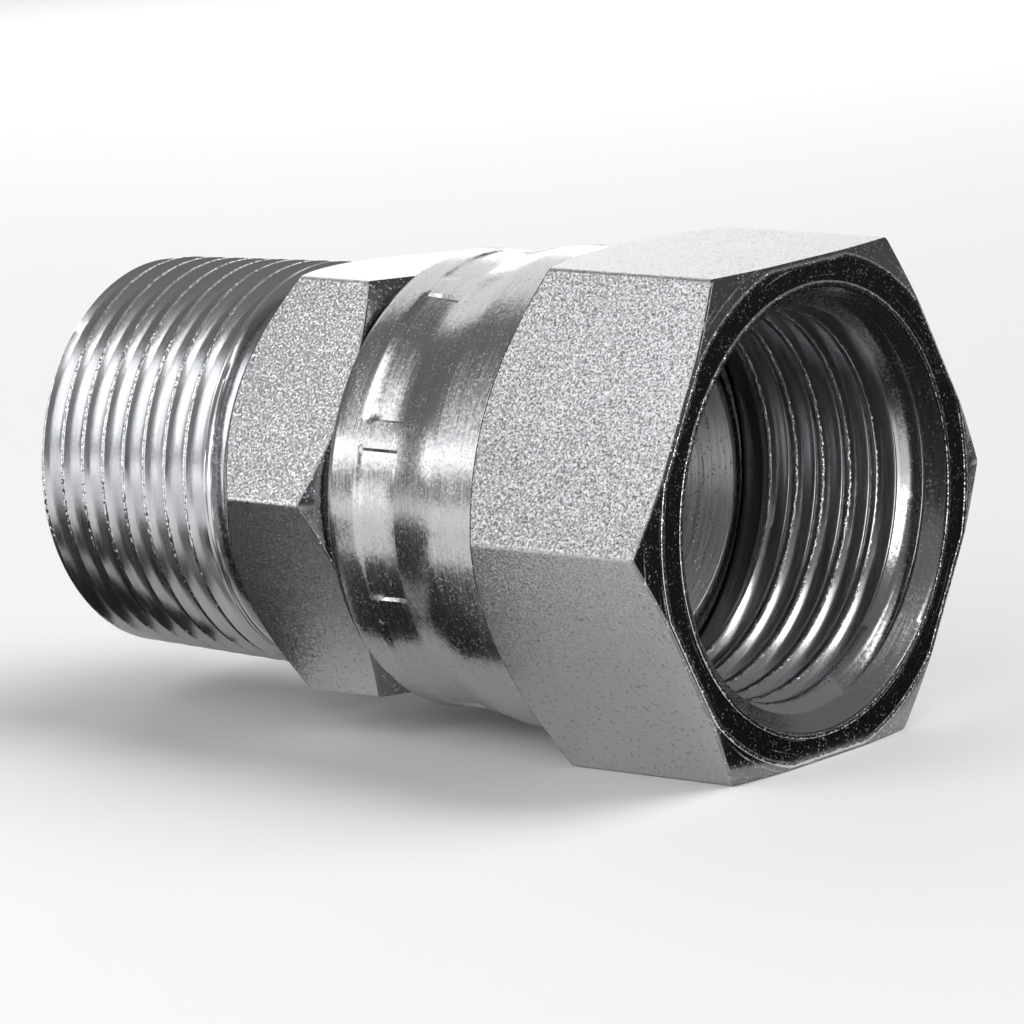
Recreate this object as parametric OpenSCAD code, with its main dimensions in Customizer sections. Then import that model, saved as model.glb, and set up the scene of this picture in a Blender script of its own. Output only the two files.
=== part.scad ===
// Hydraulic adapter: a tapered pipe thread at one end and a crimped-on swivel nut at the other.
// Every hex, thread and bore lies about the X axis. The origin is the centre of the nut's open
// face, +X points out of its mouth and +Z is up, with the nut lying on one of its flats.
// A depth is measured from the nut's open face towards the pipe thread, so it runs along -X.

/* [Swivel nut] */
// Distance across the flats of the nut's hex
nut_across_flats = 31.75; // [31.5:0.25:38]
// Depth at which the middle of a nut flat ends and the round skirt begins
nut_hex_depth = 15.15; // [12:0.05:18]
// Diameter left flat inside the chamfer of the nut's open face
nut_face_d = 32.4; // [29:0.1:36]
// Angle of the front chamfer, from the open face
nut_front_chamfer_angle = 15.5; // [5:0.5:30]
// Angle of the chamfer behind the flats, from the open face
nut_back_chamfer_angle = 37; // [20:1:50]
// Width of the countersink in the nut's mouth, along the radius
mouth_countersink = 1.7; // [0.4:0.05:2]

/* [Swivel thread] */
// Major diameter of the nut's internal thread
swivel_major_d = 26.99; // [24:0.01:27.5]
// Pitch of the internal thread, 12 turns to the inch
swivel_pitch = 2.1167; // [1.5:0.0001:2.5]
// Depth at which the threaded bore ends and the counterbore for the head begins
swivel_thread_depth = 13.6; // [10:0.1:20]
// Length of the plain land between the last groove and the counterbore
swivel_land = 0.65; // [0.4:0.05:2]

/* [Crimped skirt] */
// Radial relief of the counterbore over the thread's major diameter
counterbore_relief = 0.2; // [0.05:0.05:0.4]
// Wall of the skirt where it leaves the hex
skirt_wall = 1.9; // [1.2:0.1:1.9]
// Length over which the skirt bends inwards
skirt_bend_length = 4.5; // [3:0.1:6]
// Distance that the bend runs on past the front edge of the crimp pockets
skirt_bend_overrun = 1; // [0:0.1:2]
// Radial distance that the outside of the skirt is pressed in
skirt_squeeze = 0.67; // [0.2:0.01:0.9]
// Radial catch of the crimp behind the head
crimp_catch = 0.9; // [0.5:0.05:1.2]
// Distance from the back of the head to the front edge of the crimp pockets
crimp_lead = 2.15; // [1.4:0.05:4]
// Width of the crimp pockets along the axis
crimp_width = 3.45; // [2:0.05:6]
// Depth of the crimp pockets
crimp_pocket_depth = 0.38; // [0.1:0.02:0.6]
// Number of crimp pockets around the skirt
crimp_pockets = 8; // [4:1:12]
// Angle taken by each raised land between two pockets
crimp_land_angle = 8; // [4:0.5:20]
// Turn of the crimp's first land about the axis
crimp_turn = 23.5; // [0:0.5:45]
// Length of the rolled rim behind the pockets
rim_length = 2.45; // [1.6:0.05:5]
// Radius that rounds the outside of the rolled rim
rim_round = 0.8; // [0.2:0.05:1]

/* [Head and seat] */
// Radial running clearance between the head's collar and the counterbore
head_clearance = 0.15; // [0.05:0.01:0.3]
// Axial gap between the end of the thread and the front of the collar
collar_gap = 2.4; // [1.6:0.1:6]
// Length of the collar
collar_length = 3.9; // [2:0.1:8]
// Axial running clearance between the collar's back and the crimp
crimp_clearance = 0.3; // [0.1:0.05:0.6]
// Length that the nose stands out in front of the collar
nose_length = 1.36; // [0.6:0.02:1.5]
// Radial clearance between the nose and the crests of the internal thread
nose_clearance = 0.75; // [0.3:0.05:1.5]
// Width of the rim around the seat
seat_rim = 0.9; // [0.4:0.05:1.4]
// Radius taken off the outer edges of the nose and the collar
edge_break = 0.2; // [0.1:0.05:0.4]
// Angle of the flared seat, from the axis
seat_angle = 37; // [24:1:45]
// Radial clearance between the neck and the inside of the crimp
neck_clearance = 1.2; // [0.3:0.05:2]
// Diameter of the bore right through the adapter
bore_d = 15.9; // [8:0.1:17]

/* [Body hex] */
// Distance across the flats of the body's hex
body_across_flats = 27; // [26.75:0.25:32]
// Length of the body's hex, from its front face to its back face
body_hex_length = 9.6; // [6:0.1:20]
// Gap between the nut's rim and the body's hex
body_gap = 0.35; // [0.1:0.05:3]
// Diameter of the front face inside its chamfer
body_front_face_d = 26.8; // [24:0.1:31]
// Angle of the front chamfer, from the face
body_front_chamfer_angle = 30; // [10:1:40]
// Diameter of the back face inside its chamfer
body_back_face_d = 26; // [23:0.1:30]
// Angle of the back chamfer, from the face
body_back_chamfer_angle = 45; // [15:1:50]
// Turn of the body's hex against the nut's hex
body_turn = -2.4; // [-30:0.1:30]

/* [Pipe thread] */
// Crest diameter of the tapered thread at its free end
pipe_small_d = 25.8; // [22:0.1:27]
// Pitch of the pipe thread, 14 turns to the inch
pipe_pitch = 1.8143; // [1.2:0.0001:2.3]
// Length of thread for each unit of growth in diameter
pipe_taper_ratio = 16; // [12:1:48]
// Length from the back face of the hex to the free end
pipe_thread_length = 16.4; // [8:0.1:30]
// Distance from the back face of the hex to the first crest
pipe_first_crest = 1; // [0.5:0.1:3]
// Chamfer on the outside of the free end
pipe_end_chamfer = 0.6; // [0.1:0.1:1.2]
// Chamfer in the bore at the free end
bore_end_chamfer = 0.5; // [0.1:0.1:1]

/* [Hidden] */
$fn = 96;

// A flank of a 60 degree thread rises this much for each unit of depth
flank_slope = tan(60);
// Width of the crest flat and root flat of the internal thread
swivel_crest = swivel_pitch / 4;
swivel_root = swivel_pitch / 8;
// Width of the flats on the pipe thread's crests and roots
pipe_flat = 0.08 * pipe_pitch;
// Steps that draw a curved part of a profile
curve_steps = 12;
// Run of a cutter past the surface it opens
over = 1;

// Radii of the nut, from its thread outwards
swivel_major_r = swivel_major_d / 2;
swivel_height = (swivel_pitch - swivel_crest - swivel_root) / 2 * flank_slope;
swivel_minor_r = swivel_major_r - swivel_height;
counterbore_r = swivel_major_r + counterbore_relief;
skirt_r = counterbore_r + skirt_wall;
rim_r = skirt_r - skirt_squeeze;
crimp_inner_r = counterbore_r - crimp_catch;
mouth_r = swivel_minor_r + mouth_countersink;

// Radii of the head
collar_r = counterbore_r - head_clearance;
nose_r = swivel_minor_r - nose_clearance;
neck_r = crimp_inner_r - neck_clearance;
seat_r = nose_r - seat_rim;
bore_r = bore_d / 2;

// Depths of the nut and the head, from the open face backwards
collar_depth = swivel_thread_depth + collar_gap;
nose_depth = collar_depth - nose_length;
seat_end_depth = nose_depth + (seat_r - bore_r) / tan(seat_angle);
collar_end_depth = collar_depth + collar_length;
crimp_depth = collar_end_depth + crimp_lead;
crimp_end_depth = crimp_depth + crimp_width;
nut_length = crimp_end_depth + rim_length;
catch_depth = collar_end_depth + crimp_clearance;

// Depths of the body's hex and the pipe thread
hex_depth = nut_length + body_gap;
hex_end_depth = hex_depth + body_hex_length;
end_depth = hex_end_depth + pipe_thread_length;
pipe_small_r = pipe_small_d / 2;
pipe_height = (pipe_pitch - 2 * pipe_flat) / 2 * flank_slope;

// A profile point at a depth and a radius
function at(depth, radius) = [radius, -depth];

// A value that eases from 0 to 1, level at both ends
function ease(t) = t * t * (3 - 2 * t);

// Radius of the pipe thread's crests at a depth
function pipe_crest_r(depth) = pipe_small_r + (end_depth - depth) / (2 * pipe_taper_ratio);

// One ridge of a thread in section: foot, crest, crest, foot
function ridge(depth, root_r, crest_r, flat) =
    let (run = abs(crest_r - root_r) / flank_slope)
    [at(depth - flat / 2 - run, root_r), at(depth - flat / 2, crest_r),
     at(depth + flat / 2, crest_r), at(depth + flat / 2 + run, root_r)];

// Turns a profile of radius and depth about the X axis
module turned(points) {
    rotate([0, 90, 0]) rotate_extrude() polygon(points);
}

// Turns a profile about the X axis through part of a circle
module turned_part(points, start, angle) {
    rotate([0, 90, 0]) rotate([0, 0, start]) rotate_extrude(angle = angle) polygon(points);
}

// A hexagonal bar about the X axis, between two depths
module hex_bar(across_flats, from, to, turn) {
    rotate([0, 90, 0]) rotate([0, 0, 30 + turn]) translate([0, 0, -to])
        cylinder(h = to - from, r = across_flats / sqrt(3), $fn = 6);
}

// Outer shape that the nut's bar is turned to: two chamfers, the skirt and the rolled rim
module nut_envelope() {
    bar_r = nut_across_flats / sqrt(3) + over;
    face_r = nut_face_d / 2;
    front = (bar_r - face_r) * tan(nut_front_chamfer_angle);
    flat_r = nut_across_flats / 2;
    back = nut_hex_depth - (bar_r - flat_r) * tan(nut_back_chamfer_angle);
    skirt_depth = nut_hex_depth + (flat_r - skirt_r) * tan(nut_back_chamfer_angle);
    bend_start = crimp_depth + skirt_bend_overrun - skirt_bend_length;
    bend = [for (i = [0:curve_steps]) at(
        bend_start + skirt_bend_length * i / curve_steps,
        skirt_r - skirt_squeeze * ease(i / curve_steps))];
    round = [for (i = [0:curve_steps]) at(
        nut_length - rim_round + rim_round * sin(90 * i / curve_steps),
        rim_r - rim_round + rim_round * cos(90 * i / curve_steps))];
    turned(concat(
        [at(0, 0), at(0, face_r), at(front, bar_r), at(back, bar_r), at(skirt_depth, skirt_r)],
        bend, round, [at(nut_length, 0)]));
}

// The pockets that the crimping dies leave around the skirt
module crimp_pocket_cuts() {
    pitch_angle = 360 / crimp_pockets;
    pocket_r = rim_r - crimp_pocket_depth;
    for (i = [0:crimp_pockets - 1])
        turned_part([at(crimp_depth, pocket_r), at(crimp_depth, skirt_r + over),
                     at(crimp_end_depth, skirt_r + over), at(crimp_end_depth, pocket_r)],
                    crimp_turn + crimp_land_angle / 2 + i * pitch_angle,
                    pitch_angle - crimp_land_angle);
}

// The inside of the nut: countersink, threaded bore, counterbore and crimp
module nut_bore() {
    groove_run = swivel_height / flank_slope;
    last_groove = swivel_thread_depth - swivel_land - groove_run - swivel_root / 2;
    turns = floor((last_groove - mouth_countersink / 2) / swivel_pitch);
    turned([at(-over, 0), at(-over, mouth_r + over), at(mouth_r - swivel_minor_r, swivel_minor_r),
            at(swivel_thread_depth, swivel_minor_r), at(swivel_thread_depth, counterbore_r),
            at(catch_depth, counterbore_r), at(catch_depth + crimp_catch, crimp_inner_r),
            at(nut_length + over, crimp_inner_r), at(nut_length + over, 0)]);
    for (i = [0:turns])
        turned(concat([at(last_groove - i * swivel_pitch - groove_run - swivel_root / 2, 0)],
                      ridge(last_groove - i * swivel_pitch, swivel_minor_r, swivel_major_r, swivel_root),
                      [at(last_groove - i * swivel_pitch + groove_run + swivel_root / 2, 0)]));
}

// The nut: a turned hexagonal bar with an internal thread and a crimped skirt
module swivel_nut() {
    color("#d3d5d8") difference() {
        intersection() {
            hex_bar(nut_across_flats, 0, nut_length, 0);
            nut_envelope();
        }
        nut_bore();
        crimp_pocket_cuts();
    }
}

// The head that the nut turns on: nose, collar, sloping back and neck
module head() {
    turned([at(nose_depth, 0), at(nose_depth, nose_r - edge_break),
            at(nose_depth + edge_break, nose_r), at(collar_depth, nose_r),
            at(collar_depth, collar_r - edge_break), at(collar_depth + edge_break, collar_r),
            at(collar_end_depth, collar_r), at(collar_end_depth + collar_r - neck_r, neck_r),
            at(hex_depth + over, neck_r), at(hex_depth + over, 0)]);
}

// The hex of the body, with a chamfer at each end
module body_hex() {
    bar_r = body_across_flats / sqrt(3) + over;
    front_r = body_front_face_d / 2;
    back_r = body_back_face_d / 2;
    intersection() {
        hex_bar(body_across_flats, hex_depth, hex_end_depth, body_turn);
        turned([at(hex_depth, 0), at(hex_depth, front_r),
                at(hex_depth + (bar_r - front_r) * tan(body_front_chamfer_angle), bar_r),
                at(hex_end_depth - (bar_r - back_r) * tan(body_back_chamfer_angle), bar_r),
                at(hex_end_depth, back_r), at(hex_end_depth, 0)]);
    }
}

// The tapered pipe thread, drawn as ridges at their true pitch and 60 degree form
module pipe_thread() {
    first = hex_end_depth + pipe_first_crest;
    turns = floor((end_depth - first) / pipe_pitch);
    start_r = pipe_crest_r(hex_end_depth) - pipe_height;
    end_r = pipe_small_r - pipe_end_chamfer;
    ridges = [for (i = [0:turns]) let (d = first + i * pipe_pitch)
        for (p = ridge(d, pipe_crest_r(d) - pipe_height, pipe_crest_r(d), pipe_flat)) p];
    intersection() {
        turned(concat([at(hex_depth + over, 0), at(hex_depth + over, start_r)], ridges,
                      [at(end_depth + pipe_pitch, pipe_small_r - pipe_height),
                       at(end_depth + pipe_pitch, 0)]));
        turned([at(hex_depth, 0), at(hex_depth, pipe_crest_r(hex_depth)),
                at(end_depth - pipe_end_chamfer, pipe_crest_r(end_depth - pipe_end_chamfer)),
                at(end_depth, end_r), at(end_depth, 0)]);
    }
}

// The way through the adapter: flared seat, bore and end chamfer
module flow_way() {
    flare = (seat_r - bore_r) / (seat_end_depth - nose_depth);
    turned([at(nose_depth - over, 0), at(nose_depth - over, seat_r + flare * over),
            at(seat_end_depth, bore_r), at(end_depth - bore_end_chamfer, bore_r),
            at(end_depth + over, bore_r + bore_end_chamfer + over), at(end_depth + over, 0)]);
}

// The body: head, hex and pipe thread turned in one piece
module adapter_body() {
    color("#c4c6c9") difference() {
        union() {
            head();
            body_hex();
            pipe_thread();
        }
        flow_way();
    }
}

adapter_body();
swivel_nut();
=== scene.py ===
"""A hydraulic adapter: a tapered pipe thread at one end, a crimped swivel nut at the other.

Both pieces are turned from hexagonal bar and zinc plated. Each one is drawn as a closed
profile of depth and radius that is worked out afresh at every angle about the X axis, so
the hexes, the crimp and the helical threads all share one mesh. A depth is measured from
the nut's open face towards the pipe thread, along -X. Angle 0 points down and -90 to -Y.
"""

import math

import bmesh
import bpy
from bpy.props import FloatProperty, FloatVectorProperty, IntProperty, PointerProperty
from mathutils import Matrix, Vector


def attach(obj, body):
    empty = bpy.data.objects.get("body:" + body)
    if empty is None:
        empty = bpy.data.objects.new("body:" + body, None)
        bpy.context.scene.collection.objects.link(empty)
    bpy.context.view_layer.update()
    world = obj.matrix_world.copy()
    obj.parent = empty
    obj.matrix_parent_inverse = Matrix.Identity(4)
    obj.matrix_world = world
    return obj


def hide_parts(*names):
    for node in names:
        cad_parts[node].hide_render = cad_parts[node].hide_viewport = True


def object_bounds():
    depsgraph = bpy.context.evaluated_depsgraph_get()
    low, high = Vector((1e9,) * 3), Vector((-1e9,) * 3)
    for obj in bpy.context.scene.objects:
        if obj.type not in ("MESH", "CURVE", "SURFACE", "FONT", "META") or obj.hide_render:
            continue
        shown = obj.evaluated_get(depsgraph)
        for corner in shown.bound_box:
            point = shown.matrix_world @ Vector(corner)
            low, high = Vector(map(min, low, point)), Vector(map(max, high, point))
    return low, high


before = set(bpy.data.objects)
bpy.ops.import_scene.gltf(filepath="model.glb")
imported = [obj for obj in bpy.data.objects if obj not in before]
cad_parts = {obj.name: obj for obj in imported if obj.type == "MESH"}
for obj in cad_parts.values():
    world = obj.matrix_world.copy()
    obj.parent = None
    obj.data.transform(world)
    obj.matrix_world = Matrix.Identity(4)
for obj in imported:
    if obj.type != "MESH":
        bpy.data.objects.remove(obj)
cad_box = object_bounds()

bl_info = {
    "name": "Hydraulic adapter",
    "version": (1, 0, 0),
    "blender": (4, 5, 0),
    "location": "3D View > Sidebar > Adapter",
    "description": "Models a zinc plated pipe adapter with a crimped swivel nut",
    "category": "Add Mesh",
}

MM = 0.001
TINY = 1e-12
MERGE = 0.0008 * MM
FLANK_SLOPE = math.tan(math.radians(60))
SECTION_STEP = math.radians(1.5)
ARC_STEP = math.radians(23)
SHARP_ANGLE = math.radians(34)
LIP_STEPS = 6
MATT = 0.9
FACED, FLATS, TURNED, THREAD, CREST, SEAT, BORE = range(7)


def length(name, description, default):
    """A size in metres, given here in millimetres."""
    return FloatProperty(
        name=name, description=description, default=default * MM, unit="LENGTH", precision=5
    )


def plain(name, description, default):
    """A plain number, such as a share or a brightness."""
    return FloatProperty(name=name, description=description, default=default)


def degrees(name, description, default):
    """An angle, given here in degrees."""
    return FloatProperty(
        name=name, description=description, default=math.radians(default), subtype="ANGLE"
    )


def colour(name, description, default):
    """A colour, given here as an sRGB hex value."""
    return FloatVectorProperty(
        name=name, description=description, default=linear(default), size=4, subtype="COLOR",
        min=0, max=1
    )


def linear(hex_colour):
    """An sRGB hex colour as linear red, green, blue and alpha."""
    parts = [int(hex_colour[i:i + 2], 16) / 255 for i in (1, 3, 5)]
    return tuple(c / 12.92 if c <= 0.04045 else ((c + 0.055) / 1.055) ** 2.4 for c in parts) + (1.0,)


class NutSizes(bpy.types.PropertyGroup):
    """Sizes of the swivel nut."""

    across_flats: length("Across flats", "Distance across the flats of the hex", 31.75)
    corner_round: length("Corner round", "Radius along the hex's corners", 0.4)
    edge_round: length("Edge round", "Radius along the edges of the chamfers", 0.2)
    lip_width: length("Lip width", "Half the width of the thick zinc along the face's edges", 0.16)
    lip_height: length("Lip height", "Height of the thick zinc along the face's edges", 0.08)
    hex_depth: length("Hex depth", "Depth at which the middle of a flat ends", 15.15)
    face_r: length("Face radius", "Radius of the open face inside its chamfer", 16.2)
    front_angle: degrees("Front chamfer", "Angle of the front chamfer, from the face", 15.5)
    back_angle: degrees("Back chamfer", "Angle of the chamfer behind the flats", 37)
    mouth_r: length("Mouth radius", "Radius of the countersink at the open face", 14.05)
    cone_depth: length("Countersink depth", "Depth at which the countersink's cone ends", 1.15)
    ledge: length("Ledge", "Length over which the countersink meets the lead", 0.15)
    lead_depth: length("Lead depth", "Depth to which the thread's first crest is tapered", 3.0)
    lead_angle: degrees("Lead angle", "Angle of that taper from the axis", 30)
    pitch: length("Thread pitch", "Pitch of the internal thread", 2.1167)
    major_r: length("Thread major radius", "Radius at the roots of the internal thread", 13.495)
    minor_r: length("Thread minor radius", "Radius at the crests of the internal thread", 12.349)
    crest_depth: length("Crest depth", "Depth of a crest at the crest angle", 2.65)
    crest_angle: degrees("Crest angle", "Angle at which the crest depth is measured", 76.5)
    thread_end: length("Thread end", "Depth at which the counterbore begins", 13.6)
    thread_land: length("Thread land", "Length without a groove before the counterbore", 0.4)
    run_out: length("Run-out", "Length over which the groove fades out", 0.6)
    counterbore_r: length("Counterbore radius", "Radius of the room for the head", 13.695)
    catch_depth: length("Catch depth", "Depth at which the crimp closes behind the head", 20.2)
    crimp_r: length("Crimp radius", "Radius of the hole that the crimp leaves", 12.795)
    skirt_r: length("Skirt radius", "Radius of the skirt where it leaves the hex", 15.595)
    skirt_squeeze: length("Skirt squeeze", "Distance that the skirt is pressed in", 0.67)
    bend_start: length("Bend start", "Depth at which the skirt starts to bend", 18.55)
    bend_length: length("Bend length", "Length of the skirt's bend", 4.5)
    pocket_start: length("Pocket start", "Depth of the crimp pockets' front edge", 22.05)
    pocket_end: length("Pocket end", "Depth of the crimp pockets' rear edge", 25.5)
    pocket_depth: length("Pocket depth", "Depth of the crimp pockets at their front edge", 0.38)
    pocket_soft: length("Pocket soft", "Length over which a pocket's rear rises to the rim", 0.6)
    pocket_rise: plain("Pocket rise", "Share of that depth lost at the rear", 0.75)
    pocket_lean: plain("Pocket lean", "Share lost from one end to the other", 0.35)
    pockets: IntProperty(name="Pockets", description="Number of crimp pockets", default=8, min=4, max=12)
    land_angle: degrees("Land angle", "Angle taken by the top of each land", 6.6)
    slope_angle: degrees("Slope angle", "Angle taken by a pocket's sloping end", 0.7)
    land_turn: degrees("Land turn", "Angle of the first land", 24.0)
    end: length("Length", "Depth at which the rolled rim ends", 27.95)
    rim_round: length("Rim round", "Radius around the rolled rim", 0.8)


class BodySizes(bpy.types.PropertyGroup):
    """Sizes of the adapter's body."""

    nose_depth: length("Nose depth", "Depth of the seat's rim", 14.64)
    nose_r: length("Nose radius", "Radius of the nose", 11.6)
    seat_r: length("Seat radius", "Radius at which the flared seat begins", 10.7)
    seat_end: length("Seat end", "Depth at which the seat reaches the bore", 18.29)
    bore_r: length("Bore radius", "Radius of the bore", 7.95)
    collar_depth: length("Collar depth", "Depth of the collar's front", 16.0)
    collar_end: length("Collar end", "Depth of the collar's back", 19.9)
    collar_r: length("Collar radius", "Radius of the collar", 13.545)
    neck_r: length("Neck radius", "Radius of the neck", 11.6)
    across_flats: length("Across flats", "Distance across the flats of the hex", 27.0)
    corner_round: length("Corner round", "Radius along the hex's corners", 0.35)
    edge_round: length("Edge round", "Radius along the edges of the chamfers", 0.18)
    hex_start: length("Hex start", "Depth of the hex's front face", 28.3)
    hex_end: length("Hex end", "Depth of the hex's back face", 37.9)
    turn: degrees("Turn", "Turn of the body's hex against the nut's", -2.4)
    front_r: length("Front radius", "Radius of the front face inside its chamfer", 13.4)
    front_angle: degrees("Front chamfer", "Angle of the front chamfer, from its face", 30)
    back_r: length("Back radius", "Radius of the back face inside its chamfer", 13.0)
    back_angle: degrees("Back chamfer", "Angle of the back chamfer, from its face", 45)
    pitch: length("Thread pitch", "Pitch of the pipe thread", 1.8143)
    small_r: length("Small radius", "Radius of the thread's crests at the free end", 12.9)
    taper: plain("Taper", "Growth in radius along the thread", 1 / 32)
    crest_depth: length("Crest depth", "Depth of a crest at the crest angle", 39.2)
    crest_hollow: length("Crest hollow", "Depth of the hollow between a crest's torn edges", 0.04)
    crest_angle: degrees("Crest angle", "Angle at which the crest depth is measured", -103.5)
    notch_r: length("Notch radius", "Radius of the notch between hex and thread", 12.6)
    notch_rise: length("Notch rise", "Growth of the notch's radius towards the thread", 0.55)
    notch_end: length("Notch end", "Depth at which the fine tool marks begin", 38.2)
    marks_end: length("Marks end", "Depth at which the full thread begins", 39.1)
    mark_spacing: length("Mark spacing", "Distance between the fine tool marks", 0.36)
    mark_height: length("Mark height", "Height of the fine tool marks", 0.05)
    end: length("Length", "Depth of the free end", 54.3)
    end_chamfer: length("End chamfer", "Chamfer outside the free end", 0.6)
    bore_chamfer: length("Bore chamfer", "Chamfer in the bore at the free end", 0.5)


class Finishes(bpy.types.PropertyGroup):
    """Colours of the plated steel and the paper sweep."""

    nut_flats: colour("Nut's flats", "Zinc over the drawn flats of the nut", "#c0c1c3")
    body_flats: colour("Body's flats", "Zinc over the drawn flats of the body", "#d6d7d9")
    turned: colour("Turned surfaces", "Zinc over smoothly turned steel", "#c2c3c5")
    # Darker than the other zinc: partly the faces' own tone, partly painted shade for their dark mirror
    faced: colour("Faced surfaces", "Zinc over end faces and chamfers", "#88898b")
    crests: colour("Crests", "Thick zinc on thread crests and sharp edges", "#dedfe1")
    inside: colour("Bores", "Thin zinc deep inside the bores", "#b0b1b3")
    paper: colour("Paper", "The sweep that the adapter lies on", "#ececec")
    # Painted shade: the cards put dark reflections in the metal where nothing dark stands in view
    card: colour("Card", "Black cards that only show in mirrors", "#1a1a1a")


class Studio(bpy.types.PropertyGroup):
    """The camera and the lamps."""

    aim: FloatVectorProperty(
        name="Aim", description="Point in the middle of the picture", size=3, subtype="TRANSLATION",
        unit="LENGTH", default=(-24.27 * MM, -0.45 * MM, -1.97 * MM)
    )
    distance: length("Distance", "From the camera to the point it aims at", 449.7)
    azimuth: degrees("Azimuth", "Turn of the camera round the adapter", 38.92)
    elevation: degrees("Elevation", "Height of the camera above the horizon", 10.58)
    roll: degrees("Roll", "Roll of the camera about its own axis", -2.75)
    view_angle: degrees("View angle", "Angle across the picture", 8.401)
    sun: plain("Sun", "Strength of the soft light from above", 2.15)
    sun_width: degrees("Sun width", "Angle that the sun takes up in the sky", 50)
    key: plain("Key", "Brightness of the soft boxes in front and to the right", 2.0)
    side: plain("Side", "Brightness of the panels behind and to the left", 1.6)
    ambient: plain("Ambient", "Brightness of the room", 0.18)


def hexagon_r(across_flats, corner_round, turn, angle):
    """Distance from the axis to a hexagon with rounded corners, in one direction."""
    off = (angle - turn + math.pi / 6) % (math.pi / 3) - math.pi / 6
    half = across_flats / 2
    tangent = math.atan((half - corner_round) * math.tan(math.pi / 6) / half)
    if abs(off) <= tangent:
        return half / math.cos(off)
    centre = (half - corner_round) / math.cos(math.pi / 6)
    side = math.pi / 6 - abs(off)
    return centre * math.cos(side) + math.sqrt(corner_round ** 2 - (centre * math.sin(side)) ** 2)


def corner_angles(across_flats, corner_round, turn):
    """Directions of the points that draw the six rounded corners of a hexagon."""
    centre = (across_flats / 2 - corner_round) / math.cos(math.pi / 6)
    found = []
    for corner in range(6):
        for part in (-1, -0.5, 0, 0.5, 1):
            lean = part * math.pi / 6
            off = math.atan2(corner_round * math.sin(lean), centre + corner_round * math.cos(lean))
            found.append(turn + math.pi / 6 + corner * math.pi / 3 + off)
    return found


def spread(special, widest):
    """A full turn of angles that holds the special ones and has no step wider than the widest."""
    stops = sorted({round(a % math.tau, 6) for a in special})
    angles = []
    for here, there in zip(stops, stops[1:] + [stops[0] + math.tau]):
        steps = max(1, math.ceil((there - here) / widest))
        angles += [here + (there - here) * i / steps for i in range(steps)]
    return angles + [stops[0] + math.tau]


def meet(first, second):
    """Point where two lines meet, each given by its normal's angle and its distance."""
    (a, p), (b, q) = first, second
    span = math.sin(b - a)
    depth = -(p * math.sin(b) - q * math.sin(a)) / span
    radius = (q * math.cos(a) - p * math.cos(b)) / span
    return depth, radius


def line(angle, depth, radius):
    """The line through a point whose normal leans by an angle from the front towards outside."""
    return angle, -depth * math.cos(angle) + radius * math.sin(angle)


def arc_steps(before, after):
    """Number of steps that draw the rounded edge between two lines."""
    return max(2, math.ceil((after[0] - before[0]) / ARC_STEP))


def rounded_bar(lines, edge_round):
    """Profile of a bar between its front and back lines, with every edge rounded."""
    inner = [(angle, distance - edge_round) for angle, distance in lines]
    corners = [meet(a, b) for a, b in zip(inner, inner[1:])]
    for i in range(1, len(inner) - 1):
        angle = inner[i][0]
        run = (corners[i][0] - corners[i - 1][0]) * math.sin(angle)
        rise = (corners[i][1] - corners[i - 1][1]) * math.cos(angle)
        if run + rise < 0:
            corners[i - 1] = corners[i] = meet(inner[i - 1], inner[i + 1])
    points = []
    for (depth, radius), before, after in zip(corners, inner, inner[1:]):
        steps = arc_steps(before, after)
        for i in range(steps + 1):
            lean = before[0] + (after[0] - before[0]) * i / steps
            points.append((depth - edge_round * math.cos(lean), radius + edge_round * math.sin(lean)))
    return points


def bar_finishes(lines):
    """Finish of each stretch of a rounded bar's profile, from its first point to its last."""
    finishes = []
    for before, after in zip(lines, lines[1:]):
        on_flat = math.isclose(after[0], math.pi / 2)
        finishes += [FACED] * arc_steps(before, after) + [FLATS if on_flat else FACED]
    return finishes


def softened(corners, steps=3, room=0.49):
    """A line through points of depth and radius, with an arc at each that has a rounding.

    An arc takes no more room than a given share of the sides that it joins.
    """
    points = []
    for i, (depth, radius, rounding) in enumerate(corners):
        here = Vector((depth, radius))
        if not rounding:
            points.append(tuple(here))
            continue
        before = Vector(corners[i - 1][:2]) - here
        after = Vector(corners[i + 1][:2]) - here
        half = before.angle(after) / 2
        reach = min(rounding / math.tan(half), before.length * room, after.length * room)
        middle = (before.normalized() + after.normalized()).normalized()
        centre = here + middle * (reach / math.cos(half))
        start = here + before.normalized() * reach - centre
        finish = here + after.normalized() * reach - centre
        for step in range(steps + 1):
            arm = start.normalized().slerp(finish.normalized(), step / steps) * start.length
            points.append(tuple(centre + arm))
    return points


def ridge(pitch, height, crest, root, hollow):
    """One pitch of a 60 degree thread about a crest: depth and height of each point.

    A hollow in the middle of the crest leaves a torn edge on each side of it.
    """
    foot = (pitch - root) / 2
    torn = crest * 0.3
    rounding = crest / 8 if hollow else crest / 2.5
    corners = [
        (-pitch / 2, 0, 0),
        (-foot, 0, root / 3),
        (-crest / 2, height - hollow / 2, rounding),
        (-torn, height, rounding / 2),
        (0, height - hollow, 0),
        (torn, height, rounding / 2),
        (crest / 2, height - hollow / 2, rounding),
        (foot, 0, root / 3),
        (pitch / 2, 0, 0),
    ]
    if not hollow:
        del corners[3:6]
    shape = softened(corners, steps=2)
    middle = [(-(foot + crest / 2) / 2, height / 2), ((foot + crest / 2) / 2, height / 2)]
    return sorted(shape + middle)


def height_at(shape, pitch, offset):
    """Height of a thread's ridge at a distance from its crest."""
    offset = (offset + pitch / 2) % pitch - pitch / 2
    for (a, low), (b, high) in zip(shape, shape[1:]):
        if a <= offset <= b:
            return low + (high - low) * (offset - a) / max(b - a, TINY)
    return 0


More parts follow.
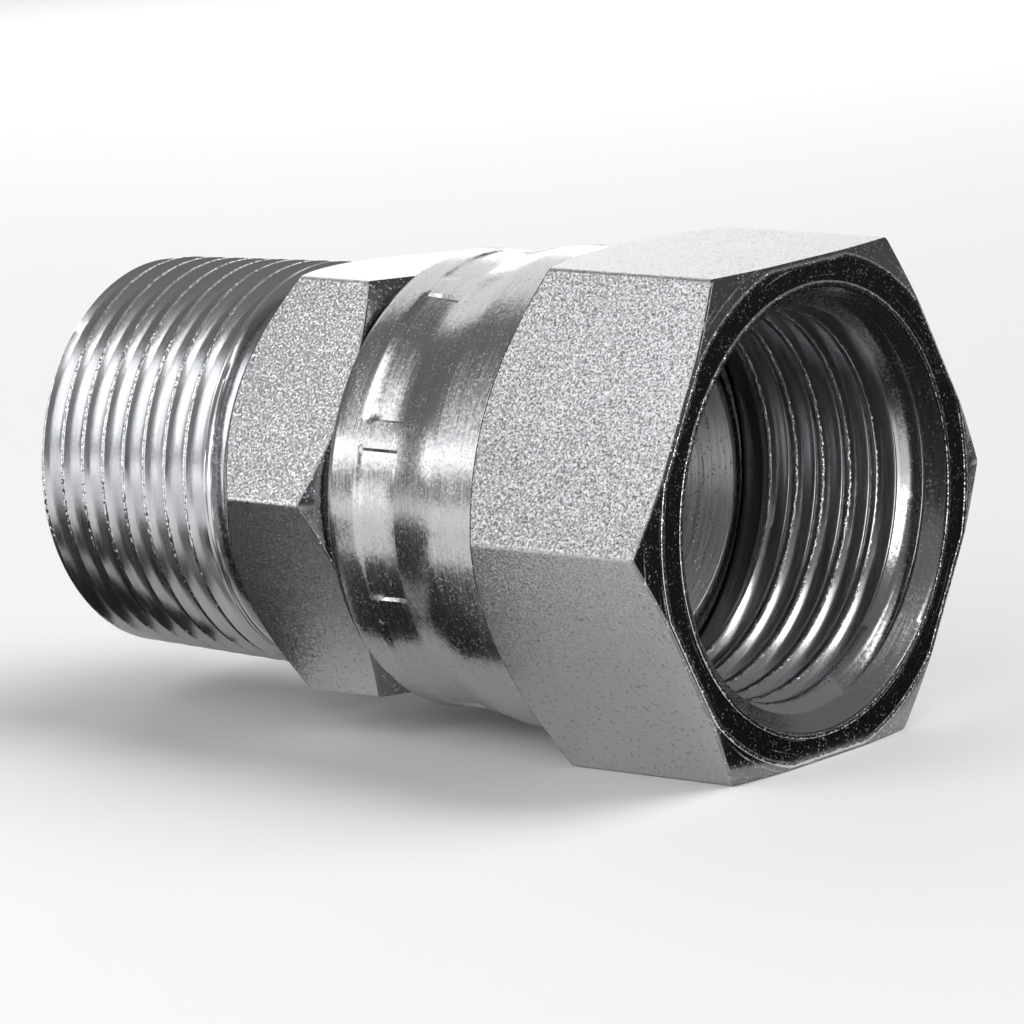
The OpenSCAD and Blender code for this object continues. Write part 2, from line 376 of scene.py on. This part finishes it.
def thread(shape, pitch, crest_depth, turn, start, end):
    """Points of a right-hand thread between two depths at one angle: depth and height.

    The turn is counted from the angle of the crest depth. Points that fall outside gather
    at the ends, where they are merged later.
    """
    crest = crest_depth - pitch * turn / math.tau
    first = math.floor((start - crest_depth) / pitch) - 1
    count = math.ceil((end - start) / pitch) + 4
    points = []
    for k in range(first, first + count):
        for offset, _ in shape[:-1]:
            depth = min(max(crest + k * pitch + offset, start), end)
            points.append((depth, height_at(shape, pitch, depth - crest)))
    return points


def trimmed(points, limit, side):
    """Holds a profile inside (1) or outside (-1) a limiting radius, with a point where they meet."""
    gaps = [side * (limit(depth) - radius) for depth, radius in points]
    held = []
    for i, (depth, radius) in enumerate(points):
        if gaps[i] >= 0:
            held.append((depth, radius))
            continue
        over = [j for j in (i - 1, i + 1) if 0 <= j < len(points) and gaps[j] > 0]
        if over:
            share = gaps[i] / (gaps[i] - gaps[over[0]])
            far_depth, far_radius = points[over[0]]
            held.append((depth + (far_depth - depth) * share, radius + (far_radius - radius) * share))
        else:
            held.append((depth, limit(depth)))
    return held


def ease(share):
    """Eases from 0 to 1, level at both ends."""
    share = min(max(share, 0), 1)
    return share * share * (3 - 2 * share)


def evenly(start, end, steps):
    """Values from one step after the start up to the end."""
    return [start + (end - start) * i / steps for i in range(1, steps + 1)]


def ramp(value, start, end):
    """Runs straight from 0 at the start to 1 at the end."""
    return min(max((value - start) / (end - start), 0), 1)


def swept(name, angles, profile):
    """A closed ring of mesh whose section at each angle is a closed profile with finishes."""
    mesh = bmesh.new()
    rings = []
    for angle in angles:
        points, finishes = profile(angle)
        across, up = math.sin(angle), -math.cos(angle)
        rings.append([mesh.verts.new((-d, r * across, r * up)) for d, r in points])
    for here, there in zip(rings, rings[1:]):
        for i, finish in enumerate(finishes):
            j = (i + 1) % len(finishes)
            face = mesh.faces.new((here[i], here[j], there[j], there[i]))
            face.material_index = finish
            face.smooth = True
    bmesh.ops.remove_doubles(mesh, verts=mesh.verts, dist=MERGE)
    bmesh.ops.dissolve_degenerate(mesh, edges=mesh.edges, dist=MERGE)
    bmesh.ops.recalc_face_normals(mesh, faces=mesh.faces)
    data = bpy.data.meshes.new(name)
    mesh.to_mesh(data)
    mesh.free()
    data.set_sharp_from_angle(angle=SHARP_ANGLE)
    piece = bpy.data.objects.new(name, data)
    bpy.context.scene.collection.objects.link(piece)
    weights = piece.modifiers.new("Weighted normals", "WEIGHTED_NORMAL")
    weights.keep_sharp = True
    return piece


def nut_lines(nut, hex_r):
    """Face, front chamfer, flat and back chamfer of the nut at one angle."""
    return [
        line(0, nut.lip_height, 0),
        line(nut.front_angle, nut.lip_height, nut.face_r),
        line(math.pi / 2, 0, hex_r),
        line(math.pi - nut.back_angle, nut.hex_depth, nut.across_flats / 2),
    ]


def lip(nut, radius):
    """The thick zinc along a round edge of the nut's face: a half round that tops out at depth 0."""
    points = []
    for turn in [0] + evenly(0, math.pi, LIP_STEPS):
        height = nut.lip_height * math.sin(turn)
        points.append((nut.lip_height - height, radius - nut.lip_width * math.cos(turn)))
    return points


def joined(runs):
    """Joins runs of points, each with one finish or a list of them, into one closed profile."""
    points, finishes = [], []
    for run, finish in runs:
        points += run
        finishes += finish if isinstance(finish, list) else [finish] * len(run)
    return points, finishes


def skirt_points(nut, angle):
    """The skirt from the hex to the rolled rim, with its crimp pockets."""
    leaves = nut.hex_depth + (nut.across_flats / 2 - nut.skirt_r) * math.tan(nut.back_angle)
    brink, foot = nut.pocket_start + 0.03 * MM, nut.pocket_start + 0.09 * MM
    floor_start, floor_end = nut.pocket_start + 0.3 * MM, nut.pocket_end - nut.pocket_soft
    rim_start = nut.end - nut.rim_round
    depths = [leaves + run * MM for run in (0.02, 0.1, 0.4, 1.5)]
    depths += [nut.bend_start] + evenly(nut.bend_start, nut.pocket_start, steps=12)
    depths += [brink, foot, foot + 0.03 * MM]
    depths += [floor_start] + evenly(floor_start, floor_end, steps=8)
    depths += evenly(floor_end, nut.pocket_end, steps=6)
    depths += evenly(nut.pocket_end, rim_start, steps=4)
    step = math.tau / nut.pockets
    turn = (angle - nut.land_turn + step / 2) % step - step / 2
    side = ramp(abs(turn) - nut.land_angle / 2, 0, nut.slope_angle)
    along = 0.5 - math.copysign(0.5 - abs(turn) / step, turn)
    side *= 1 - nut.pocket_lean * along
    points = []
    for depth in depths:
        radius = nut.skirt_r - nut.skirt_squeeze * ease((depth - nut.bend_start) / nut.bend_length)
        front = ramp(depth, brink, foot)
        rear = 1 - ease((depth - floor_end) / nut.pocket_soft)
        floor = 1 - nut.pocket_rise * ramp(depth, nut.pocket_start, nut.pocket_end)
        points.append((depth, radius - nut.pocket_depth * floor * side * front * rear))
    rim_r = nut.skirt_r - nut.skirt_squeeze
    for turn in evenly(0, math.pi / 2, steps=7):
        points.append((
            rim_start + nut.rim_round * math.sin(turn),
            rim_r - nut.rim_round * (1 - math.cos(turn)),
        ))
    return points


def nut_profile(nut, shape, angle):
    """The nut's closed profile at one angle, and the finish of each stretch of it."""
    hex_r = hexagon_r(nut.across_flats, nut.corner_round, 0, angle)
    lines = nut_lines(nut, hex_r)
    catch_end = nut.catch_depth + nut.counterbore_r - nut.crimp_r
    start, end = 0.1 * MM, nut.thread_end - nut.thread_land
    # Depth, radius and rounding of each corner from the rim to the thread
    inside = softened([
        (nut.end, nut.crimp_r + 1.5 * MM, 0),
        (nut.end, nut.crimp_r, 0.3 * MM),
        (catch_end, nut.crimp_r, 0.2 * MM),
        (nut.catch_depth, nut.counterbore_r, 0.2 * MM),
        (nut.thread_end, nut.counterbore_r, 0.15 * MM),
        (nut.thread_end, nut.minor_r, 0.12 * MM),
        (end, nut.minor_r, 0),
    ])
    turn = angle - nut.crest_angle
    crest = nut.crest_depth - nut.pitch * turn / math.tau
    cone_end = nut.cone_depth + nut.ledge
    points = thread(shape, nut.pitch, nut.crest_depth, turn, start, end)
    for depth in (nut.cone_depth, cone_end):
        points.append((depth, height_at(shape, nut.pitch, depth - crest)))
    wall = []
    for depth, height in sorted(points):
        fade = 1 - ramp(depth, end - nut.run_out, end)
        groove = (nut.major_r - nut.minor_r - height) * fade
        wall.append((depth, nut.minor_r + groove))

    def limit(depth):
        cone = nut.mouth_r - depth
        lead = nut.minor_r + (nut.lead_depth - depth) * math.tan(nut.lead_angle)
        return max(cone, cone + (lead - cone) * ramp(depth, nut.cone_depth, cone_end))

    wall = trimmed(wall, limit, -1)
    wall.reverse()
    near, corner = 0.001 * MM, 0.15 * MM
    kinds = []
    for (depth, radius), (_, other) in zip(wall, wall[1:]):
        on_cone = radius + depth < nut.mouth_r + 10 * near
        above = max(radius, other) - max(nut.minor_r, limit(depth))
        on_flat = above < near and limit(depth) < nut.minor_r
        on_corner = near < above < corner
        kinds.append(TURNED if on_cone or on_flat else CREST if on_corner else THREAD)
    return joined([
        (lip(nut, min(nut.face_r, hex_r - nut.edge_round) - nut.lip_width), CREST),
        (rounded_bar(lines, nut.edge_round)[1:], bar_finishes(lines)[1:-1] + [TURNED]),
        (skirt_points(nut, angle), TURNED),
        (inside, BORE),
        (wall, kinds + [FACED]),
        (lip(nut, nut.mouth_r + nut.lip_width), [CREST] * LIP_STEPS + [FACED]),
    ])


def body_lines(body, hex_r):
    """Front face, chamfer, flat, chamfer and back face of the body's hex at one angle."""
    return [
        line(0, body.hex_start, 0),
        line(body.front_angle, body.hex_start, body.front_r),
        line(math.pi / 2, 0, hex_r),
        line(math.pi - body.back_angle, body.hex_end, body.back_r),
        line(math.pi, body.hex_end, 0),
    ]


def body_profile(body, shape, height, angle):
    """The body's closed profile at one angle, and the finish of each stretch of it."""
    rim_r = body.seat_r + 0.2 * MM
    # Depth, radius and rounding of each corner from the seat's rim to the hex
    head = softened([
        (body.nose_depth, rim_r, 0),
        (body.nose_depth, body.nose_r, 0.18 * MM),
        (body.collar_depth, body.nose_r, 0.2 * MM),
        (body.collar_depth, body.collar_r, 0.2 * MM),
        (body.collar_end, body.collar_r, 0.2 * MM),
        (body.collar_end + body.collar_r - body.neck_r, body.neck_r, 0.3 * MM),
        (body.hex_start, body.neck_r, 0.3 * MM),
        (body.hex_start, body.neck_r + 0.8 * MM, 0),
    ])
    hex_r = hexagon_r(body.across_flats, body.corner_round, body.turn, angle)
    lines = body_lines(body, hex_r)
    turn = angle - body.crest_angle
    first, last = body.hex_end + 0.05 * MM, body.end - 0.04 * MM
    end_crest = body.small_r + body.end_chamfer * body.taper

    def crest_r(depth):
        return body.small_r + (body.end - depth) * body.taper

    def limit(depth):
        mark = body.mark_height * math.cos(math.tau * (depth - body.marks_end) / body.mark_spacing)
        rise = body.notch_rise * ease((depth - body.hex_end) / (body.notch_end - body.hex_end))
        opening = 2 * max(0, depth - body.marks_end)
        leaving = body.notch_r + rise + mark + opening
        closing = end_crest - (depth - (body.end - body.end_chamfer))
        return min(leaving, closing)

    notch = [(body.hex_end, body.notch_r)]
    crest = body.crest_depth - body.pitch * turn / math.tau
    for depth in [first] + evenly(first, body.marks_end, steps=32):
        threaded = crest_r(depth) - height + height_at(shape, body.pitch, depth - crest)
        notch.append((depth, min(threaded, limit(depth))))
    wall = []
    for depth, rise in thread(shape, body.pitch, body.crest_depth, turn, body.marks_end, last):
        wall.append((depth, crest_r(depth) - height + rise))
    wall = trimmed(wall, limit, 1)
    torn = 1.2 * body.crest_hollow
    kinds = []
    for (depth, radius), (beyond, other) in zip(wall, wall[1:]):
        on_crest = min(radius - crest_r(depth), other - crest_r(beyond)) > -torn
        kinds.append(CREST if on_crest else THREAD)
    lip_r = body.bore_r + body.bore_chamfer
    # Depth, radius and rounding of each corner from the free end to the seat's rim
    way = softened([
        (body.end, body.small_r - body.pitch, 0),
        (body.end, lip_r, 0.08 * MM),
        (body.end - body.bore_chamfer, body.bore_r, 0.1 * MM),
        (body.seat_end, body.bore_r, 0.15 * MM),
        (body.nose_depth, body.seat_r, 0.15 * MM),
        (body.nose_depth, rim_r, 0),
    ])[:-1]
    inner = []
    for depth, _ in way:
        on_chamfer, in_bore = depth > body.end - body.bore_chamfer, depth > body.seat_end
        inner.append(FACED if on_chamfer else BORE if in_bore else SEAT)
    return joined([
        (head, TURNED),
        (rounded_bar(lines, body.edge_round), bar_finishes(lines)),
        (notch, THREAD),
        (wall, kinds + [FACED]),
        (way, inner),
    ])


def add(tree, kind, links=None, values=None, **settings):
    """Adds a node with its settings, the values of its sockets and the links into them."""
    node = tree.nodes.new(kind)
    for key, value in settings.items():
        setattr(node, key, value)
    for key, value in (values or {}).items():
        node.inputs[key].default_value = value
    for key, source in (links or {}).items():
        tree.links.new(source, node.inputs[key])
    return node


def surface(name, base, roughness, metallic=1.0):
    """A bare metal, or a dull material where it isn't metallic, with its shader."""
    material = bpy.data.materials.new(name)
    material.use_nodes = True
    tree = material.node_tree
    shader = tree.nodes["Principled BSDF"]
    shader.inputs["Base Color"].default_value = base
    shader.inputs["Metallic"].default_value = metallic
    shader.inputs["Roughness"].default_value = roughness
    return material, tree, shader


def along_axis(tree, line_spacing, line_length):
    """Coordinates that stretch a pattern into fine lines running round the X axis."""
    place = add(tree, "ShaderNodeTexCoord").outputs["Object"]
    scale = (1 / line_spacing, 1 / line_length, 1 / line_length)
    return add(tree, "ShaderNodeMapping", {"Vector": place}, {"Scale": scale}).outputs["Vector"]


def across_radius(tree, line_spacing, line_length):
    """Coordinates that stretch a pattern into fine rings about the X axis on an end face."""
    place = add(tree, "ShaderNodeTexCoord").outputs["Object"]
    flat = add(tree, "ShaderNodeVectorMath", {0: place}, {1: (0, 1, 1)}, operation="MULTIPLY").outputs[0]
    radius = add(tree, "ShaderNodeVectorMath", {0: flat}, operation="LENGTH").outputs["Value"]
    rings = add(tree, "ShaderNodeMath", {0: radius}, {1: 1 / line_spacing}, operation="MULTIPLY")
    spread_out = add(tree, "ShaderNodeVectorMath", {0: flat}, {3: 1 / line_length}, operation="SCALE")
    ring_vector = add(tree, "ShaderNodeCombineXYZ", {"X": rings.outputs[0]})
    both = {0: spread_out.outputs[0], 1: ring_vector.outputs[0]}
    return add(tree, "ShaderNodeVectorMath", both, operation="ADD").outputs[0]


def orange_peel(tree, grain, tilt, mask=None):
    """A normal that leans about at random, in grains of a given width, where the mask is white.

    Real zinc grains are finer than a pixel, so each one here is as wide as two pixels or more.
    """
    place = add(tree, "ShaderNodeTexCoord").outputs["Object"]
    noise = add(tree, "ShaderNodeTexNoise", {"Vector": place}, {"Scale": 1 / grain, "Detail": 3})
    middle = (0.5, 0.5, 0.5)
    source = {0: noise.outputs["Color"]}
    lean = add(tree, "ShaderNodeVectorMath", source, {1: middle}, operation="SUBTRACT")
    scaled = add(tree, "ShaderNodeVectorMath", {0: lean.outputs[0]}, {3: tilt}, operation="SCALE")
    if mask:
        scaled = add(tree, "ShaderNodeVectorMath", {0: scaled.outputs[0], 3: mask}, operation="SCALE")
    normal = add(tree, "ShaderNodeNewGeometry").outputs["Normal"]
    both = {0: normal, 1: scaled.outputs[0]}
    leant = add(tree, "ShaderNodeVectorMath", both, operation="ADD").outputs[0]
    return add(tree, "ShaderNodeVectorMath", {0: leant}, operation="NORMALIZE").outputs[0]


def grit(tree, spacing):
    """Dots of stray grit in the plating, thick in some patches and missing in others. On faced zinc they
    are also given a lighter colour, a painted sparkle.

    Most of it would be too fine to show, so the dots are drawn as coarse as they need to be.
    """
    place = add(tree, "ShaderNodeTexCoord").outputs["Object"]
    cells = add(tree, "ShaderNodeTexVoronoi", {"Vector": place}, {"Scale": 1 / spacing})
    ends = {"From Min": 0.38, "From Max": 0.2}
    dots = add(tree, "ShaderNodeMapRange", {"Value": cells.outputs["Distance"]}, ends)
    patch = 4 * spacing
    patches = add(tree, "ShaderNodeTexNoise", {"Vector": place}, {"Scale": 1 / patch, "Detail": 2})
    ends = {"From Min": 0.4, "From Max": 0.58}
    thick = add(tree, "ShaderNodeMapRange", {"Value": patches.outputs["Fac"]}, ends)
    both = {0: dots.outputs[0], 1: thick.outputs[0]}
    return add(tree, "ShaderNodeMath", both, operation="MULTIPLY").outputs[0]


def drawn_flats(base, low_pits_painted_shade):
    """Cold drawn bar under bright zinc: an orange peel that sparkles, with dark pits in it.

    The pits thicken towards the lower edge of the flats that look upwards: painted shade, darker towards
    their bottom.
    """
    grain, pit = 0.14 * MM, 0.24 * MM
    least_height, most_height = 1 * MM, 12 * MM
    material, tree, shader = surface("bright zinc on cold drawn bar", base, roughness=0.36)
    tree.links.new(orange_peel(tree, grain, tilt=0.85), shader.inputs["Normal"])
    where = add(tree, "ShaderNodeTexCoord")
    place = where.outputs["Object"]
    pits = add(tree, "ShaderNodeTexNoise", {"Vector": place}, {"Scale": 1 / pit, "Detail": 1})
    # Painted shade: on flats that look upwards the pits grow thicker below 12 mm, darkest at the bottom
    # edge
    height = add(tree, "ShaderNodeSeparateXYZ", {"Vector": place}).outputs["Z"]
    ends = {"From Min": most_height, "From Max": least_height, "To Max": low_pits_painted_shade}
    low = add(tree, "ShaderNodeMapRange", {"Value": height}, ends).outputs[0]
    leaning = add(tree, "ShaderNodeSeparateXYZ", {"Vector": where.outputs["Normal"]}).outputs["Z"]
    upward = add(tree, "ShaderNodeMapRange", {"Value": leaning}, {"From Max": 0.1}).outputs[0]
    more = add(tree, "ShaderNodeMath", {0: low, 1: upward}, operation="MULTIPLY").outputs[0]
    least = add(tree, "ShaderNodeMath", {1: more}, {0: 0.6}, operation="SUBTRACT").outputs[0]
    most = add(tree, "ShaderNodeMath", {0: least}, {1: 0.12}, operation="ADD").outputs[0]
    sources = {"Value": pits.outputs["Fac"], "From Min": least, "From Max": most}
    depth = add(tree, "ShaderNodeMapRange", sources, {"To Max": 0.6}).outputs[0]
    dark = tuple(c * 0.4 for c in base[:3]) + (1.0,)
    shade = add(tree, "ShaderNodeMix", {"Factor": depth}, {6: base, 7: dark}, data_type="RGBA")
    tree.links.new(shade.outputs[2], shader.inputs["Base Color"])
    return material


def turned(name, base, roughness, spacing, depth, tilt, sparkle):
    """Zinc over turned steel: tool lines round the axis smear reflections and grit breaks them.

    The lines lie about as far apart as a tool's feed, 0.1 to 0.2 mm.
    """
    grain, dot, line_length = 0.25 * MM, 0.24 * MM, 5 * MM
    material, tree, shader = surface(name, base, roughness)
    lines = add(
        tree, "ShaderNodeTexNoise", {"Vector": along_axis(tree, spacing, line_length)},
        {"Scale": 1.0, "Detail": 3, "Roughness": 0.6}
    ).outputs["Fac"]
    sources = {"Height": lines, "Normal": orange_peel(tree, grain, tilt)}
    height = add(tree, "ShaderNodeBump", sources, {"Strength": 1.0, "Distance": depth})
    tree.links.new(height.outputs["Normal"], shader.inputs["Normal"])
    smooth, rugged = roughness * 0.7, roughness * 1.4
    ends = {"From Min": 0.3, "From Max": 0.7, "To Min": smooth, "To Max": rugged}
    rough = add(tree, "ShaderNodeMapRange", {"Value": lines}, ends).outputs[0]
    if sparkle:
        dots = {0: grit(tree, dot)}
        grains = add(tree, "ShaderNodeMath", dots, {1: sparkle}, operation="MULTIPLY").outputs[0]
        rough = add(tree, "ShaderNodeMath", {0: rough, 1: grains}, operation="ADD").outputs[0]
    tree.links.new(rough, shader.inputs["Roughness"])
    return material


def faced(name, base, white, roughness, marks):
    """Faced steel under bright zinc: a mirror with rings from the tool and grit. The rings and grit dots
    take the white colour, a painted sparkle where it is lighter than the base.
    """
    spacing, line_length, grain, dot = 0.2 * MM, 8 * MM, 0.2 * MM, 0.22 * MM
    material, tree, shader = surface(name, base, roughness)
    rings = {"Vector": across_radius(tree, spacing, line_length)}
    lines = add(tree, "ShaderNodeTexNoise", rings, {"Scale": 1.0}).outputs["Fac"]
    arcs = add(tree, "ShaderNodeMapRange", {"Value": lines}, {"From Min": 0.63, "From Max": 0.72})
    both = {0: grit(tree, dot), 1: arcs.outputs[0]}
    grains = add(tree, "ShaderNodeMath", both, operation="MAXIMUM").outputs[0]
    sources = {"Height": lines, "Normal": orange_peel(tree, grain, tilt=3.0, mask=grains)}
    height = add(tree, "ShaderNodeBump", sources, {"Strength": 1.0, "Distance": marks})
    tree.links.new(height.outputs["Normal"], shader.inputs["Normal"])
    # Painted sparkle: the rings and grit dots take the white colour in place of the base
    shade = add(tree, "ShaderNodeMix", {"Factor": grains}, {6: base, 7: white}, data_type="RGBA")
    tree.links.new(shade.outputs[2], shader.inputs["Base Color"])
    rough = add(tree, "ShaderNodeMapRange", {"Value": grains}, {"To Min": roughness, "To Max": 0.5})
    tree.links.new(rough.outputs[0], shader.inputs["Roughness"])
    return material


def rough_crests(base):
    """Thick zinc on sharp edges: torn, grainy and bright from every side."""
    material, tree, shader = surface("thick zinc on rough crests", base, roughness=0.22)
    tree.links.new(orange_peel(tree, grain=0.2 * MM, tilt=1.6), shader.inputs["Normal"])
    return material


def finish_materials(colours, flats):
    """The materials in the order of the finish numbers, with a piece's own drawn flats."""
    thick = colours.crests
    return [
        # The faced zinc's dark base is partly painted shade; the crest colour on its rings and grit is a
        # painted sparkle
        faced("bright zinc on faced steel", colours.faced, thick, roughness=0.2, marks=0.008 * MM),
        flats,
        turned(
            "bright zinc on turned steel", colours.turned, roughness=0.2,
            spacing=0.12 * MM, depth=0.004 * MM, tilt=0.12, sparkle=0.22
        ),
        turned(
            "bright zinc on cut thread", thick, roughness=0.2,
            spacing=0.15 * MM, depth=0.002 * MM, tilt=0.03, sparkle=0
        ),
        rough_crests(thick),
        faced("bright zinc on brushed seat", thick, thick, roughness=0.36, marks=0.03 * MM),
        turned(
            "thin zinc inside the bore", colours.inside, roughness=0.35,
            spacing=0.2 * MM, depth=0.006 * MM, tilt=0.1, sparkle=0
        ),
    ]


def dress(piece, flats, body, node):
    """Gives a piece its finishes, tells the frame what it rides on and hides the imported part that it
    stands for.
    """
    colours = bpy.context.scene.adapter_finishes
    for material in finish_materials(colours, flats):
        piece.data.materials.append(material)
    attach(piece, body)
    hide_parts(node)


class ADAPTER_OT_body(bpy.types.Operator):
    """Turns the body: head, neck, hex and tapered pipe thread in one piece"""

    bl_idname = "adapter.body"
    bl_label = "Adapter body"

    def execute(self, context):
        body = context.scene.adapter_body
        crest = 0.16 * body.pitch
        root = 0.08 * body.pitch
        height = (body.pitch - crest - root) / 2 * FLANK_SLOPE
        shape = ridge(body.pitch, height, crest, root, body.crest_hollow)
        corners = corner_angles(body.across_flats, body.corner_round, body.turn)
        angles = spread(corners, SECTION_STEP)
        piece = swept("adapter_body_finished", angles, lambda a: body_profile(body, shape, height, a))
        flats = drawn_flats(context.scene.adapter_finishes.body_flats, low_pits_painted_shade=0)
        dress(piece, flats, "adapter", "adapter_body")
        return {"FINISHED"}


class ADAPTER_OT_nut(bpy.types.Operator):
    """Turns the swivel nut: hex, internal thread and crimped skirt in one piece"""

    bl_idname = "adapter.nut"
    bl_label = "Swivel nut"

    def execute(self, context):
        nut = context.scene.adapter_nut
        crest = nut.pitch / 4
        root = nut.pitch / 8
        shape = ridge(nut.pitch, nut.major_r - nut.minor_r, crest, root, hollow=0)
        special = corner_angles(nut.across_flats, nut.corner_round, 0)
        for pocket in range(nut.pockets):
            land = nut.land_turn + pocket * math.tau / nut.pockets
            for edge in (nut.land_angle / 2, nut.land_angle / 2 + nut.slope_angle):
                special += [land - edge, land + edge]
        angles = spread(special, SECTION_STEP)
        piece = swept("swivel_nut_finished", angles, lambda a: nut_profile(nut, shape, a))
        # The nut's upper flats get darker towards their lower edge: painted shade
        flats = drawn_flats(context.scene.adapter_finishes.nut_flats, low_pits_painted_shade=0.16)
        dress(piece, flats, "nut", "swivel_nut")
        return {"FINISHED"}


def toward(azimuth, elevation, distance):
    """A place seen from the adapter's middle, with the azimuth turning from -Y to -X."""
    azimuth, elevation = math.radians(azimuth), math.radians(elevation)
    level = Vector((-math.sin(azimuth), -math.cos(azimuth), 0)) * math.cos(elevation)
    return (cad_box[0] + cad_box[1]) / 2 + (level + Vector((0, 0, math.sin(elevation)))) * distance


def soft_box(name, place, width, height, brightness):
    """A lit panel that faces the adapter, of a given brightness where 1 is white."""
    data = bpy.data.lights.new(name, "AREA")
    data.shape = "RECTANGLE"
    data.size = width
    data.size_y = height
    data.energy = brightness * math.pi * width * height
    lamp = bpy.data.objects.new(name, data)
    lamp.location = place
    lamp.rotation_euler = (toward(0, 0, 0) - place).to_track_quat("-Z", "Y").to_euler()
    lamp.visible_camera = False
    bpy.context.scene.collection.objects.link(lamp)


def mirror_shade_card(name, base, corners):
    """A black card that only mirrors show, with corners in millimetres above the floor. It paints shade
    into the metal's reflections.
    """
    ground = cad_box[0].z + 0.1 * MM
    places = [(x * MM, y * MM, ground + z * MM) for x, y, z in corners]
    data = bpy.data.meshes.new(name)
    data.from_pydata(places, [], [range(len(places))])
    material, _, _ = surface("matt black card", base, MATT, metallic=0.0)
    data.materials.append(material)
    card = bpy.data.objects.new(name, data)
    card.visible_camera = card.visible_diffuse = card.visible_shadow = False
    bpy.context.scene.collection.objects.link(card)


def paper_sweep(base, ground):
    """Matt white paper: a plain pale floor that spreads the light evenly."""
    material, _, shader = surface("matt white paper", base, MATT, metallic=0.0)
    shader.inputs["Specular IOR Level"].default_value = 0.2
    mesh = bmesh.new()
    middle = Matrix.Translation((0, 0, ground))
    bmesh.ops.create_circle(mesh, cap_ends=True, radius=4.0, segments=128, matrix=middle)
    data = bpy.data.meshes.new("floor")
    mesh.to_mesh(data)
    mesh.free()
    data.materials.append(material)
    floor = bpy.data.objects.new("floor", data)
    bpy.context.scene.collection.objects.link(floor)


class ADAPTER_OT_studio(bpy.types.Operator):
    """Lays the floor and sets the lamps and the camera"""

    bl_idname = "adapter.studio"
    bl_label = "Studio"

    def execute(self, context):
        scene = context.scene
        studio = scene.adapter_studio
        paper_sweep(scene.adapter_finishes.paper, cad_box[0].z)
        # Cards that paint shade into the metal's reflections: one sloping to the right of the nut, two
        # flat on the floor in front
        black = scene.adapter_finishes.card
        mirror_shade_card("sloping card", black, [
            (1, -10, 0), (6, -8, 1), (60, -60, 11.1), (160, -160, 30), (160, 220, 30), (1, 160, 0)
        ])
        mirror_shade_card("skirt card", black, [(-50, -38, 0), (-34, -38, 0), (-19, -14, 0), (-35, -14, 0)])
        mirror_shade_card("thread card", black, [
            (-130, -76, 0), (-72, -76, 0), (-44, -27, 0), (-39, -14, 0), (-39, -6, 0), (-130, -6, 0)
        ])
        sun = bpy.data.lights.new("sun", "SUN")
        sun.energy = studio.sun
        sun.angle = studio.sun_width
        lamp = bpy.data.objects.new("sun", sun)
        sunward = Vector((0.4, 0.45, 0.85))
        lamp.rotation_euler = sunward.to_track_quat("Z", "Y").to_euler()
        lamp.visible_glossy = False
        scene.collection.objects.link(lamp)
        # Azimuth and elevation in degrees, distance, width and height in metres, brightness
        panels = {
            "key": (47, 14, 0.25, 0.08, 0.055, studio.key * 1.1),
            "tall front": (24, 37, 0.4, 0.2, 0.36, studio.key * 1.15),
            "low front": (18, 1, 0.4, 0.2, 0.08, studio.key * 0.8),
            "behind": (143, 14, 0.45, 0.19, 0.14, studio.side * 1.3),
            "above left": (124, 38, 0.45, 0.3, 0.24, studio.side * 0.6),
            "right": (-95, 30, 0.4, 0.13, 0.1, studio.key * 1.5),
            "right front": (-26, 15, 0.4, 0.1, 0.26, studio.key * 1.9),
        }
        for name, (azimuth, elevation, distance, width, height, brightness) in panels.items():
            soft_box(name, toward(azimuth, elevation, distance), width, height, brightness)
        world = bpy.data.worlds.new("room")
        world.use_nodes = True
        background = world.node_tree.nodes["Background"]
        background.inputs["Color"].default_value = (1, 1, 1, 1)
        background.inputs["Strength"].default_value = studio.ambient
        scene.world = world
        self.place_camera(scene, studio)
        scene.view_settings.view_transform = "Standard"
        return {"FINISHED"}

    def place_camera(self, scene, studio):
        """Puts the camera where the photograph was taken from."""
        data = bpy.data.cameras.new("camera")
        data.sensor_fit = "HORIZONTAL"
        data.angle = studio.view_angle
        camera = bpy.data.objects.new("camera", data)
        aim = Matrix.Translation(Vector(studio.aim))
        around = Matrix.Rotation(studio.azimuth, 4, "Z")
        down = Matrix.Rotation(math.pi / 2 - studio.elevation, 4, "X")
        away = Matrix.Translation((0, 0, studio.distance))
        camera.matrix_world = aim @ around @ down @ away @ Matrix.Rotation(studio.roll, 4, "Z")
        scene.collection.objects.link(camera)
        scene.camera = camera


class ADAPTER_PT_panel(bpy.types.Panel):
    """Lists the adapter's pieces and their sizes"""

    bl_idname = "ADAPTER_PT_panel"
    bl_label = "Hydraulic adapter"
    bl_space_type = "VIEW_3D"
    bl_region_type = "UI"
    bl_category = "Adapter"

    def draw(self, context):
        for piece in OPERATORS:
            self.layout.operator(piece.bl_idname)
        for group in GROUPS:
            box = self.layout.box()
            settings = getattr(context.scene, group)
            for name in settings.__annotations__:
                box.prop(settings, name)


OPERATORS = (ADAPTER_OT_body, ADAPTER_OT_nut, ADAPTER_OT_studio)
GROUPS = {
    "adapter_nut": NutSizes,
    "adapter_body": BodySizes,
    "adapter_finishes": Finishes,
    "adapter_studio": Studio,
}
CLASSES = tuple(GROUPS.values()) + OPERATORS + (ADAPTER_PT_panel,)


def register():
    for cls in CLASSES:
        bpy.utils.register_class(cls)
    for name, group in GROUPS.items():
        setattr(bpy.types.Scene, name, PointerProperty(type=group))


def unregister():
    for name in GROUPS:
        delattr(bpy.types.Scene, name)
    for cls in reversed(CLASSES):
        bpy.utils.unregister_class(cls)


def main():
    register()
    bpy.ops.adapter.body()
    bpy.ops.adapter.nut()
    bpy.ops.adapter.studio()


if __name__ == "__main__":
    main()
